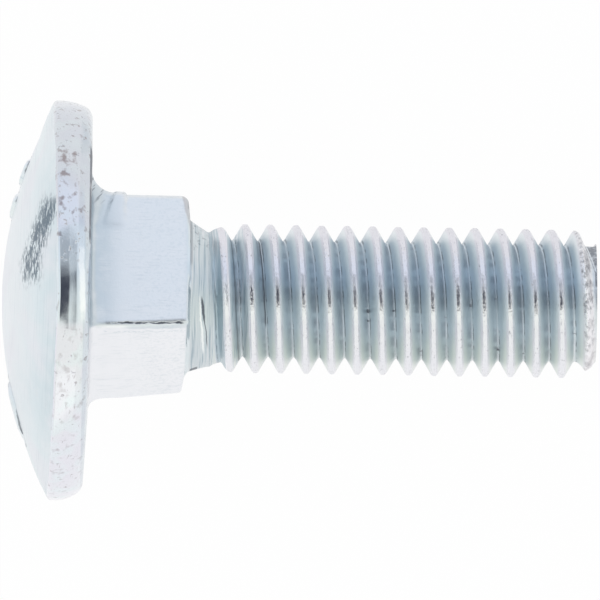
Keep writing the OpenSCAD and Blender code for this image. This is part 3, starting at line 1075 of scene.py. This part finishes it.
def zinc_material(s, f):
    """Thin bluish zinc on forged steel: streaked dome, pitted rim, smooth neck, bright crests."""
    metal = bpy.data.materials.new("zinc_plate")
    metal.use_nodes = True
    metal.node_tree.nodes.clear()
    g = Graph(metal.node_tree)
    z = Finish(g, s, f)
    for work in (plate_dome, plate_rim, plate_neck, plate_thread, streak_with_dies, fold_roots,
                 wear_crests, crack_neck, brush_neck, pit_rim, mark_and_shade_shoulder, gouge_shank,
                 crush_tip, scuff_dome, outline_bars):
        work(z, f)
    z.lay(z.dark, f.steel)
    rough = f.roughness + z.cloud.ramp(0.3, 0.7) * 0.06 + z.dark * 0.25 - z.rim * 0.17
    rough = rough - z.crest * 0.08 - z.burnished * 0.1 + z.calm * z.cloud.ramp(0.4, 0.6) * 0.05
    height = z.relief * (1 - z.calm * z.rim * 0.6)
    normal = g.add("ShaderNodeBump", {"Strength": 0.5, "Distance": 0.04 * MM, "Height": height})
    surface = g.add("ShaderNodeBsdfPrincipled",
                    {"Base Color": z.tint, "Metallic": 1.0, "Roughness": rough, "Normal": normal})
    g.add("ShaderNodeOutputMaterial", {"Surface": surface}, out=None)
    return metal


class BOLT_OT_forging(bpy.types.Operator):
    """Make the bolt: dome, rim, neck, shoulder, rolled thread and tip in one closed mesh"""

    bl_idname = "bolt.forging"
    bl_label = "Bolt"

    def execute(self, context):
        s = context.scene.bolt_sizes
        mesh = bolt_mesh(s, zinc_material(s, context.scene.bolt_finish))
        piece = bpy.data.objects.new("bolt_body", mesh)
        context.collection.objects.link(piece)
        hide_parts("bolt")
        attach(piece, "root")
        print("bolt triangles", sum(len(p.vertices) - 2 for p in mesh.polygons))
        return {"FINISHED"}


def view_axes(p):
    """Right, up and forward of the camera, which looks down on the bolt, its tip leaning away."""
    dip = math.atan2(-AXIS.z, AXIS.x)
    look = Vector((math.sin(p.lean - dip), 0, -math.cos(p.lean - dip)))
    up = Vector((0, 1, 0))
    right = look.cross(up)
    return (right * math.cos(p.roll) + up * math.sin(p.roll),
            up * math.cos(p.roll) - right * math.sin(p.roll), look)


def add_camera(context, p):
    """A camera that frames the bolt as the photograph does."""
    right, up, look = view_axes(p)
    pixel = p.field / PICTURE
    middle = to_row() @ Vector((0, 0, (PICTURE / 2 - BEARING_COLUMN) * pixel))
    middle -= up * (PICTURE / 2 - AXIS_ROW) * pixel
    camera = bpy.data.cameras.new("camera")
    camera.sensor_width = 36
    camera.lens = camera.sensor_width * p.distance / p.field
    camera.clip_start, camera.clip_end = 0.01, 5
    obj = bpy.data.objects.new("camera", camera)
    turn = Matrix((right, up, -look)).transposed().to_4x4()
    obj.matrix_world = Matrix.Translation(middle - look * p.distance) @ turn
    context.collection.objects.link(obj)
    context.scene.camera = obj


def floor_material(tint):
    """Pale floor that shows white to the camera and in reflections, and keeps the bolt's shadow."""
    floor = bpy.data.materials.new("studio_floor")
    floor.use_nodes = True
    floor.node_tree.nodes.clear()
    g = Graph(floor.node_tree)
    rays = g.add("ShaderNodeLightPath", out=None)
    seen = Value(g, rays.outputs["Is Camera Ray"]).most(Value(g, rays.outputs["Is Glossy Ray"]))
    matt = g.add("ShaderNodeBsdfDiffuse", {"Color": (*tint, 1)})
    white = g.add("ShaderNodeEmission", {"Color": (1, 1, 1, 1), "Strength": 1.0})
    mixed = g.add("ShaderNodeMixShader", {0: seen * 0.98, 1: matt, 2: white})
    g.add("ShaderNodeOutputMaterial", {"Surface": mixed}, out=None)
    return floor


def add_floor(context, tint):
    bm = bmesh.new()
    bmesh.ops.create_grid(bm, x_segments=1, y_segments=1, size=1.5)
    mesh = bpy.data.meshes.new("floor")
    bm.to_mesh(mesh)
    bm.free()
    mesh.materials.append(floor_material(tint))
    floor = bpy.data.objects.new("floor", mesh)
    context.collection.objects.link(floor)


def area_lamp(name, place, target, size, watts):
    lamp = bpy.data.lights.new(name, "AREA")
    lamp.shape, lamp.size, lamp.size_y, lamp.energy = "RECTANGLE", size[0], size[1], watts
    obj = bpy.data.objects.new(name, lamp)
    turn = (target - place).to_track_quat("-Z", "Y").to_matrix().to_4x4()
    obj.matrix_world = Matrix.Translation(place) @ turn
    bpy.context.collection.objects.link(obj)


def studio_world(towards_camera):
    """A light tent: white, bluer and dimmer at one side, and dark about the opening for the lens."""
    world = bpy.data.worlds.new("studio")
    world.use_nodes = True
    world.node_tree.nodes.clear()
    g = Graph(world.node_tree)
    way = g.add("ShaderNodeTexCoord", out=0)
    left_wall, ceiling = Vector((0, 1, 0)), Vector((0, 0, 1))
    pale_wall, blue_wall = (0.98, 1.0, 0.95), (0.80, 0.86, 0.95)
    white, behind_lens = (0.98, 0.98, 0.98), (0.058, 0.062, 0.083)

    def facing(direction):
        return g.add("ShaderNodeVectorMath", {0: way, 1: direction}, out=1, operation="DOT_PRODUCT")

    # The opening is a slot across the tent, darkest at its middle and half dark towards the wall.
    beside = facing(towards_camera.cross(left_wall).normalized())
    opening = abs(beside).ramp(0.36, 0.16) * facing(towards_camera).ramp(0.2, 0.5)
    high = facing(left_wall)
    dark = high.ramp(0.38, 0.29).most(high.ramp(0.72, 0.56) * 0.45)
    level = 1 - opening * dark * high.ramp(-0.21, -0.15)
    side = g.mix(high.ramp(-0.3, 0.7), pale_wall, blue_wall)
    side = g.mix(facing(ceiling).ramp(0.0, 0.45), white, side)
    light = g.mix(level, behind_lens, side)
    camera = Value(g, g.add("ShaderNodeLightPath", out=None).outputs["Is Camera Ray"])
    shown = g.mix(camera, light, (1, 1, 1))
    shade = g.add("ShaderNodeBackground", {"Color": shown, "Strength": 1.0})
    g.add("ShaderNodeOutputWorld", {"Surface": shade}, out=None)
    bpy.context.scene.world = world


class BOLT_OT_stage(bpy.types.Operator):
    """Make the floor, the light and the camera at the photograph's angle"""

    bl_idname = "bolt.stage"
    bl_label = "Stage"

    def execute(self, context):
        p = context.scene.bolt_stage
        add_camera(context, p)
        add_floor(context, p.floor)
        target, size = Vector((0, 0, 0.005)), (0.34, 0.16)
        aside, above = 0.24, 0.16
        for name, side in (("lamp_top", 1), ("lamp_bottom", -1)):
            area_lamp(name, Vector((0, aside * side, above)), target, size, p.lamps)
        studio_world(-view_axes(p)[2])
        context.scene.view_settings.view_transform = "Standard"
        return {"FINISHED"}


class BOLT_PT_panel(bpy.types.Panel):
    bl_idname = "BOLT_PT_panel"
    bl_label = "Carriage Bolt"
    bl_space_type = "VIEW_3D"
    bl_region_type = "UI"
    bl_category = "Bolt"

    def draw(self, context):
        for operator in (BOLT_OT_stage, BOLT_OT_forging):
            self.layout.operator(operator.bl_idname)
        for group in (context.scene.bolt_sizes, context.scene.bolt_finish, context.scene.bolt_stage):
            box = self.layout.box()
            for name in group.__annotations__:
                box.prop(group, name)


CLASSES = (BoltSizes, BoltFinish, StageProps, BOLT_OT_forging, BOLT_OT_stage, BOLT_PT_panel)


def register():
    for cls in CLASSES:
        bpy.utils.register_class(cls)
    bpy.types.Scene.bolt_sizes = PointerProperty(type=BoltSizes)
    bpy.types.Scene.bolt_finish = PointerProperty(type=BoltFinish)
    bpy.types.Scene.bolt_stage = PointerProperty(type=StageProps)


def unregister():
    del bpy.types.Scene.bolt_sizes, bpy.types.Scene.bolt_finish, bpy.types.Scene.bolt_stage
    for cls in reversed(CLASSES):
        bpy.utils.unregister_class(cls)


def main():
    register()
    bpy.ops.bolt.stage()
    bpy.ops.bolt.forging()


if __name__ == "__main__":
    main()
